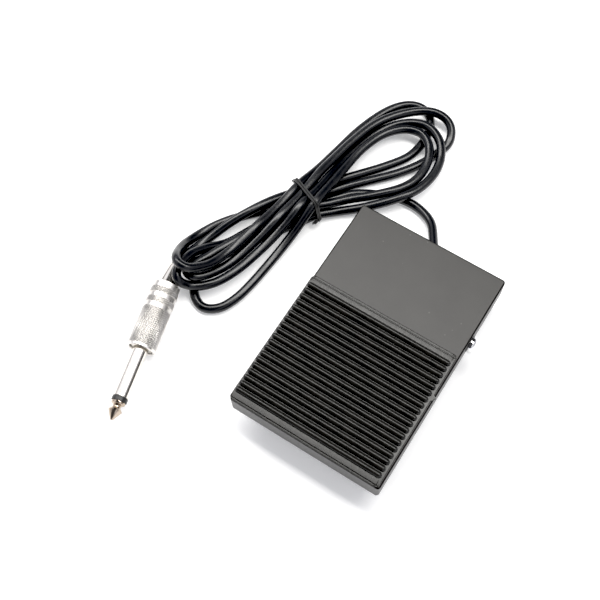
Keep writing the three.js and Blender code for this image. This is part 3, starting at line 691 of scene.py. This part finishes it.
def cable_rings():
    """The centres of the CAD cable's rings, in order from the end inside the pedal."""
    ring_depth = 0.2 * MM
    mesh = NODES["cable"].data
    keys = [tuple(round(c, 6) for c in vertex.co) for vertex in mesh.vertices]
    beside = {key: set() for key in keys}
    for a, b in mesh.edge_keys:
        beside[keys[a]].add(keys[b])
        beside[keys[b]].add(keys[a])
    clamp_low, clamp_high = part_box("cable_clamp")
    in_clamp = [key for key in beside if clamp_low.x < key[0] < clamp_high.x and key[2] > clamp_low.z]
    end = min(key[1] for key in in_clamp)
    ring = {key for key in in_clamp if key[1] < end + ring_depth}
    seen = set(ring)
    centres = []
    while ring:
        centres.append(sum((Vector(key) for key in ring), Vector()) / len(ring))
        ring = {other for key in ring for other in beside[key]} - seen
        seen |= ring
    return centres


def smooth_path(points, step, softenings=6):
    """An even path along the points, on a Catmull-Rom spline that is softened a little."""
    path = []
    for i in range(len(points) - 1):
        a, b = points[max(i - 1, 0)], points[i]
        c, d = points[i + 1], points[min(i + 2, len(points) - 1)]
        pieces = max(2, round((c - b).length / step))
        for k in range(pieces):
            t = k / pieces
            path.append(0.5 * (2 * b + (c - a) * t + (2 * a - 5 * b + 4 * c - d) * t * t
                               + (3 * b - a - 3 * c + d) * t * t * t))
    path.append(points[-1])
    for _ in range(softenings):
        middle = [(path[i - 1] + path[i + 1]) / 2 for i in range(1, len(path) - 1)]
        path[1:-1] = [path[i + 1].lerp(middle[i], 0.5) for i in range(len(middle))]
    return path


def cable_radius(centres):
    """How far the CAD cable's first ring of corners lies from its centre."""
    nearby = 3 * MM
    away = [(Vector(point) - centres[0]).length for point in node_points("cable")]
    return max(distance for distance in away if distance < nearby)


def make_cable(centres):
    points, faces = sweep(smooth_path(centres, CABLE_STEP), cable_radius(centres), CABLE_SIDES)
    make_piece("round_cable", points, faces, "base", "cable_pvc", "cable")


# ------------------------------------------------------------------ cable tie

def tie_plane():
    """The middle of the CAD band's plane, its normal along the strands, and the band's width."""
    faces = NODES["cable_tie"].data.polygons
    square, facing = 0.01, 0.999            # limits on how far a normal points along a direction
    area = {}
    for face in faces:
        if abs(face.normal.z) < square:
            side = face.normal if face.normal.y > 0 else -face.normal
            key = (round(side.x, 3), round(side.y, 3))
            area[key] = area.get(key, 0) + face.area
    along = Vector((*max(area, key=area.get), 0)).normalized()
    sides = [face.center.dot(along) for face in faces if abs(face.normal.dot(along)) > facing]
    low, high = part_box("cable_tie")
    middle = (low + high) / 2
    middle += along * ((min(sides) + max(sides)) / 2 - middle.dot(along))
    return middle, along, max(sides) - min(sides)


def convex_hull(points):
    """The corners of the convex outline round 2-D points, in order."""
    ordered = sorted(set(points))

    def half(run):
        hull = []
        for p in run:
            while len(hull) > 1:
                (ax, ay), (bx, by) = hull[-2], hull[-1]
                if (bx - ax) * (p[1] - ay) - (by - ay) * (p[0] - ax) > 0:
                    break
                hull.pop()
            hull.append(p)
        return hull[:-1]

    return half(ordered) + half(ordered[::-1])


def even_loop(corners, step):
    """A closed outline cut into even steps."""
    loop = []
    for (ax, ay), (bx, by) in zip(corners, corners[1:] + corners[:1]):
        pieces = max(1, round(math.hypot(bx - ax, by - ay) / step))
        loop += [(ax + (bx - ax) * k / pieces, ay + (by - ay) * k / pieces) for k in range(pieces)]
    return loop


def tie_section(width, share=1.0):
    """The strip's section as (across its width, out from its inner face): two round ridges and a groove."""
    ridge = width / 4
    flat, rise = 0.4, 0.6                   # shares of the thickness, under the ridges and in them
    section = [(-2 * ridge * share, 0), (2 * ridge * share, 0)]
    for middle in (ridge, -ridge):
        for x, y in arc((0, 0), ridge, 10, 170, steps=7):
            section.append(((middle + x) * share, TIE_THICKNESS * flat + y * TIE_THICKNESS / ridge * rise))
    return section


def strip_ring(place, side, out, section):
    return [place + side * w + out * t for w, t in section]


class TiePlane:
    """The plane in which the tie's band lies, with places on it as (x across the strands, z up)."""

    def __init__(self, centres):
        middle, self.along, self.width = tie_plane()
        self.across = self.along.cross(UP)
        self.origin = middle - Vector((0, 0, middle.z))
        self.rim = self.strand_rim(centres, middle)
        self.left = min(x for x, z in self.rim)
        self.right = max(x for x, z in self.rim)

    def strand_rim(self, centres, middle):
        """Points round each strand of the cable where it passes the plane."""
        reach = cable_radius(centres) + 0.15 * MM
        in_plane, in_bundle = 2.5 * MM, 15 * MM
        rim = []
        for p in centres:
            if abs((p - middle).dot(self.along)) >= in_plane or (p - middle).length >= in_bundle:
                continue
            for x, z in arc(((p - self.origin).dot(self.across), p.z), reach, 0, 360, steps=32):
                rim.append((round(x, 7), round(z, 7)))
        return rim

    def place(self, x, z):
        return self.origin + self.across * x + Vector((0, 0, z))


def make_tie_band(plane):
    """The band round the strands."""
    outline = even_loop(convex_hull(plane.rim), step=0.4 * MM)
    section = tie_section(plane.width)
    reach = 3                               # steps to each side, over which the band's direction is taken
    rings = []
    for i, (x, z) in enumerate(outline):
        (ax, az), (bx, bz) = outline[i - reach], outline[(i + reach) % len(outline)]
        outward = (plane.across * (bz - az) - Vector((0, 0, bx - ax))).normalized()
        rings.append(strip_ring(plane.place(x, z), plane.along, outward, section))
    points, faces = loft(rings, closed_path=True)
    make_piece("tie_band", points, faces, "base", "black_plastic", "cable_tie")


def make_tie_loose_end(plane):
    """The loose rounded end. It lies against the band's outermost side and points away from the strands."""
    low_end = plane.place(plane.left - 2.6 * MM, 4.2 * MM)
    high_end = plane.place(plane.left + 0.2 * MM, 6.1 * MM)
    lean = (high_end - low_end).normalized()
    out = plane.along.cross(lean)
    blunt = 0.02                            # keeps the very end from closing to a point
    rings = []
    for share in np.linspace(0, 1, 9):
        back = 1 - share
        narrow = math.sqrt(max(1 - back * back, blunt))
        place = low_end + lean * plane.width / 2 * share
        rings.append(strip_ring(place, plane.along, out, tie_section(plane.width, narrow)))
    rings.append(strip_ring(high_end, plane.along, out, tie_section(plane.width)))
    points, faces = loft(rings)
    make_piece("tie_loose_end", points, faces, "base", "black_plastic", "cable_tie")


def make_tie_tail(plane):
    """The tail, where the strip is twisted through three quarters of a turn."""
    start, length = 0.4, 3.4                # millimetres along the strands
    half_turns = 1.5
    tail_width = plane.width * 0.8
    section = tie_section(tail_width)
    rings = []
    for share in np.linspace(0, 1, 25):
        turn = share * math.pi * half_turns
        side = plane.across * math.cos(turn) + Vector((0, 0, math.sin(turn)))
        out = plane.along.cross(side)
        middle = plane.place(plane.right + 0.7 * MM, 3.6 * MM) - out * TIE_THICKNESS / 2
        rings.append(strip_ring(middle - plane.along * (start + length * share) * MM, side, out, section))
    points, faces = loft(rings)
    make_piece("tie_twisted_tail", points, faces, "base", "black_plastic", "cable_tie")


# ------------------------------------------------------------------ plug

def make_plug_piece(name, profile, slot, node):
    """A turned piece of the plug, from (radius, distance from the tip end) in millimetres."""
    outline = [(radius * MM, distance * MM) for radius, distance in profile]
    points, faces = lathe(outline, PLUG_START, PLUG_DIRECTION)
    return make_piece(name, points, faces, "base", slot, node)


def make_plug_tip():
    """A cone, a waist and a collar, on a long pin that runs back inside the sleeve."""
    rear = span_in_mm("plug_tip")[1]
    pin, cone, waist = 0.9, 2.9, 1.7
    profile = [(0, 0), (0.35, 0.05), (0.62, 0.3), (2.72, 3.75), (cone, 4.1), (2.82, 4.3), (1.78, 5.5)]
    profile += [(waist, 5.8), (1.8, 6.3), (2.4, 6.75), (2.82, 6.95), (cone, 7.1), (cone, 7.9), (2.8, 8)]
    profile += [(pin, 8), (pin, rear), (0, rear)]
    tip = make_plug_piece("tip_contact", profile, "nickel", "plug_tip")
    # painted shade and reflection: the tip gets a darker, warmer copy of the nickel than the sleeve, standing
    # in for the warm dark surroundings it mirrors
    tip_shaded_nickel = bright_metal("tip_nickel_painted_shade", (0.40, 0.33, 0.26), (0.54, 0.46, 0.38), 0.14, 0.002 * MM)
    tip.data.materials[0] = tip_shaded_nickel


def make_plug_ring():
    start, end = span_in_mm("plug_insulator_ring")
    outer, inner, edge = 3.25, 1.2, 0.1
    profile = [(inner, start), (outer - edge, start), (outer, start + edge), (outer, end - edge)]
    profile += [(outer - edge, end), (inner, end), (inner, start)]
    make_plug_piece("tip_insulator", profile, "black_plastic", "plug_insulator_ring")


def make_plug_sleeve():
    start, end = span_in_mm("plug_sleeve")
    outer, bore, edge = 3.175, 2.2, 0.15
    flange, flange_start, fillet = 4.6, 32.3, 0.1
    profile = [(bore, start), (outer - edge, start), (outer, start + edge), (outer, flange_start - fillet)]
    profile += [(outer + fillet, flange_start), (flange, flange_start), (flange, end)]
    profile += [(bore, end), (bore, start)]
    make_plug_piece("sleeve_contact", profile, "nickel", "plug_sleeve")


def triangle_wave(value):
    """0 on whole numbers and 1 half way between them."""
    return 1 - abs(2 * (value - math.floor(value)) - 1)


def knurl_depth(column, rows_along):
    """How far a place on the knurl lies under the teeth's flat tops. Its two families of grooves cross."""
    around = column / KNURL_DETAIL
    height = min(triangle_wave(around + rows_along), triangle_wave(around - rows_along))
    return KNURL_DEPTH * (1 - min(height * KNURL_STEEPNESS, 1))


def barrel_stations(start, end, outer, pitch):
    """The barrel's outline, closed through its bore, as (radius, distance along the plug, finish)."""
    groove = outer - GROOVE_DEPTH
    bore, rear_bore = 5 * MM, 4.7 * MM
    rear_lip = end - 1.4 * MM
    outline = [(bore, start + 0.2 * MM), (bore + 0.2 * MM, start), (outer - 0.25 * MM, start)]
    outline += [(outer - 0.05 * MM, start + 0.3 * MM), (outer - 0.05 * MM, start + 1.1 * MM)]
    stations = [(radius, distance, "plain") for radius, distance in outline]
    for near, far in KNURL_BANDS:
        first, last = start + near * MM, start + far * MM
        rows = round((last - first) / pitch * KNURL_DETAIL)
        stations.append((outer - 0.2 * MM, first - 0.1 * MM, "plain"))
        stations += [(outer, first + (last - first) * row / rows, "knurled") for row in range(rows + 1)]
        stations.append((outer - 0.2 * MM, last + 0.1 * MM, "plain"))
        stations += [(groove, last + 0.15 * MM, "groove"), (groove, last + 2.05 * MM, "groove")]
    outline = [(outer - 0.25 * MM, end - 0.25 * MM), (outer - 0.4 * MM, end), (rear_bore, end)]
    outline += [(rear_bore, rear_lip), (bore, rear_lip)]
    return stations + [(radius, distance, "plain") for radius, distance in outline]


def make_plug_barrel():
    """The knurled grip: three knurled bands with smooth grooves behind them, and smooth chamfered ends."""
    start, end = span_on_plug("plug_barrel")
    # the barrel lies along the floor, so its radius is half its height
    low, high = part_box("plug_barrel")
    outer = (high.z - low.z) / 2
    teeth = round(2 * math.pi * outer / KNURL_PITCH)
    pitch = 2 * math.pi * outer / teeth
    turn = PLUG_DIRECTION.to_track_quat("Z", "Y")
    # the depth attribute carries painted shade: the knurl's pits and the smooth grooves are darkened in
    # colour by it
    shades = {"plain": 0.0, "groove": GROOVE_SHADE}
    rings = []
    depths = []
    for radius, distance, finish in barrel_stations(start, end, outer, pitch):
        ring = []
        for column, angle in enumerate(round_angles(teeth * KNURL_DETAIL)):
            knurled = finish == "knurled"
            depth = knurl_depth(column, (distance - start) / pitch) if knurled else 0.0
            depths.append(depth / KNURL_DEPTH if knurled else shades[finish])
            reach = radius - depth
            place = Vector((reach * math.cos(angle), reach * math.sin(angle), distance))
            ring.append(PLUG_START + turn @ place)
        rings.append(ring)
    points, faces = loft(rings, closed_path=True)
    barrel = make_piece("knurled_barrel", points, faces, "base", "nickel", "plug_barrel", KNURL_ANGLE)
    barrel.data.attributes.new("depth", "FLOAT", "POINT").data.foreach_set("value", depths)
    pale, paler = (0.74, 0.715, 0.68), (0.82, 0.795, 0.76)
    # painted shade in the knurl's pits and grooves, from the depth attribute
    barrel.data.materials[0] = bright_metal("satin_nickel", pale, paler, 0.3, 0.003 * MM, painted_hollow_shade=0.5)


def make_plug_neck():
    """The smooth tapered strain relief behind the barrel."""
    start, end = span_in_mm("plug_neck")
    bore, inside, waist, wide, narrow = 2.25, 4.6, 4.1, 4.7, 2.65
    waist_start, taper = 60, 61.95
    edge, rear_edge = 0.1, 0.4
    hollowness = 0.85                       # below 1, so the neck narrows soonest next to the barrel
    profile = [(bore, start), (inside, start), (inside, waist_start - edge), (waist, waist_start)]
    profile += [(waist, taper), (wide - edge, taper), (wide, taper + edge)]
    for share in np.linspace(0, 1, 9)[1:]:
        radius = wide + (narrow - wide) * share ** hollowness
        profile.append((radius, taper + edge + (end - rear_edge - taper) * share))
    profile += [(narrow - 0.2, end), (bore, end), (bore, start)]
    make_plug_piece("neck_sleeve", profile, "nickel", "plug_neck")


# ------------------------------------------------------------------ carried-over CAD nodes

def dress_node(name, node):
    """A CAD node keeps its shape and gets softened edges and its slot's material."""
    slot = SLOT_OF_NODE[name]
    node.data.materials.clear()
    node.data.materials.append(LOOKS[slot])
    weld = node.modifiers.new("weld", "WELD")
    weld.merge_threshold = SAME_CAD_POINT
    low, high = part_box(name)
    thinnest = min(high.x - low.x, high.y - low.y, high.z - low.z)
    widest_bevel, share_of_thinnest = 0.2 * MM, 0.12
    bevel = node.modifiers.new("soft_edges", "BEVEL")
    bevel.width = min(widest_bevel, thinnest * share_of_thinnest)
    bevel.segments = 2
    bevel.limit_method = "ANGLE"
    bevel.angle_limit = math.radians(50)
    even_normals(node)


# ------------------------------------------------------------------ stage

# millimetres and degrees
CAMERA = {
    "target": (-35.35, 3.38, 10.0),
    "distance": 417.94,
    "azimuth": -35.28,
    "elevation": 66.62,
    "roll": 3.02,
    "lens": 60.75,
}


def place_camera():
    """The camera's place round its target is a turn from +Y, an angle above the floor and a roll."""
    camera = bpy.data.cameras.new("camera")
    camera.lens = CAMERA["lens"]
    camera.sensor_width = 36
    camera.clip_start, camera.clip_end = 0.01, 50
    turn, height = math.radians(CAMERA["azimuth"]), math.radians(CAMERA["elevation"])
    level = math.cos(height)
    forward = Vector((math.sin(turn) * level, math.cos(turn) * level, -math.sin(height)))
    upright = forward.to_track_quat("-Z", "Y")
    holder = add_object("camera", camera)
    holder.location = Vector(CAMERA["target"]) * MM - forward * CAMERA["distance"] * MM
    holder.rotation_mode = "QUATERNION"
    holder.rotation_quaternion = Quaternion(forward, math.radians(CAMERA["roll"])) @ upright
    bpy.context.scene.camera = holder


def ceiling_panel(name, centre, size, radiance):
    """A level rectangular light that shines down. A very wide panel of radiance 1 makes white paper white."""
    light = bpy.data.lights.new(name, "AREA")
    light.shape = "RECTANGLE"
    light.size, light.size_y = size
    light.energy = radiance * math.pi * size[0] * size[1]
    light.color = (1, 0.99, 0.965)
    add_object(name, light).location = centre


def make_floor():
    mesh = bpy.data.meshes.new("floor")
    corners = [(-FLOOR_HALF, -FLOOR_HALF, 0), (FLOOR_HALF, -FLOOR_HALF, 0)]
    corners += [(FLOOR_HALF, FLOOR_HALF, 0), (-FLOOR_HALF, FLOOR_HALF, 0)]
    mesh.from_pydata(corners, [], [(0, 1, 2, 3)])
    look = Look("floor_paper").set(Roughness=0.9, Specular_IOR_Level=0.1)
    look.set(Emission_Strength=FLOOR_GLOW, Emission_Color=(0.98, 0.99, 1, 1))
    look.colour(look.noise(40 * MM, 3), 0.84, 0.86)
    mesh.materials.append(look.material)
    add_object("floor", mesh)


def room_ramp(nodes, value, *stops):
    """stops are (position, grey). The room's greys are faintly blue."""
    return nodes.ramp(value, *[(position, (grey, grey, grey * 1.03)) for position, grey in stops])


def room_colour(nodes):
    """The room by direction: pale walls, paler in front, a thin dark gap over them and pale sides high up."""
    split = nodes.add("ShaderNodeSeparateXYZ")
    nodes.link(nodes.add("ShaderNodeTexCoord").outputs["Generated"], split.inputs[0])
    x, y, z = (split.outputs[axis] for axis in "XYZ")
    # the gap over the wall is higher on the right
    height = nodes.numbers("SUBTRACT", z, nodes.numbers("MULTIPLY", x, 0.14))
    wall_top, gap_start, gap_end, ceiling_start = 0.25, 0.27, 0.36, 0.40
    walls = room_ramp(nodes, height, (0, 0.85), (wall_top, 0.8), (gap_start, 0.02), (gap_end, 0.02),
                      (ceiling_start, 0.05), (1, 0.06))
    front = room_ramp(nodes, nodes.numbers("MULTIPLY", y, -1), (0.1, 1), (0.4, 1.7))
    above_gap = room_ramp(nodes, height, (gap_end, 0), (0.38, 1))
    aside = room_ramp(nodes, nodes.numbers("ABSOLUTE", x), (0.42, 0), (0.55, 1.1))
    lit_walls = nodes.colours("MULTIPLY", walls, front)
    high_sides = nodes.colours("MULTIPLY", above_gap, aside)
    return nodes.colours("ADD", lit_walls, high_sides)


def make_world():
    """The object mirrors a dim room, and the camera sees an even pale grey."""
    world = bpy.data.worlds.new("room")
    bpy.context.scene.world = world
    world.use_nodes = True
    world.node_tree.nodes.clear()
    nodes = Nodes(world.node_tree)
    seen = nodes.add("ShaderNodeBackground")
    seen.inputs["Color"].default_value = (0.86, 0.87, 0.88, 1)
    mirrored = nodes.add("ShaderNodeBackground")
    nodes.link(room_colour(nodes), mirrored.inputs["Color"])
    mix = nodes.add("ShaderNodeMixShader")
    nodes.link(nodes.add("ShaderNodeLightPath").outputs["Is Camera Ray"], mix.inputs["Fac"])
    nodes.link(mirrored.outputs["Background"], mix.inputs[1])
    nodes.link(seen.outputs["Background"], mix.inputs[2])
    nodes.link(mix.outputs["Shader"], nodes.add("ShaderNodeOutputWorld").inputs["Surface"])


def set_contrast():
    """Plain display colours, with the deepest shadows taken down to black."""
    view = bpy.context.scene.view_settings
    view.view_transform = "Standard"
    view.use_curve_mapping = True
    view.curve_mapping.black_level = (BLACK_LEVEL, BLACK_LEVEL, BLACK_LEVEL)
    view.curve_mapping.update()


# ------------------------------------------------------------------ the scene

make_cover()
make_mat()
make_pivot_dome()
make_retaining_ring()
make_pivot_shaft()
make_spring()
cable_centres = cable_rings()
make_cable(cable_centres)
tie = TiePlane(cable_centres)
make_tie_band(tie)
make_tie_loose_end(tie)
make_tie_tail(tie)
make_plug_tip()
make_plug_ring()
make_plug_sleeve()
make_plug_barrel()
make_plug_neck()
for node_name, cad_node in NODES.items():
    if not cad_node.hide_render:
        dress_node(node_name, cad_node)

place_camera()
ceiling_panel("strip_panel", centre=(-0.38, 0.27, 0.9), size=(1.9, 0.28), radiance=11.8)
make_floor()
make_world()
set_contrast()
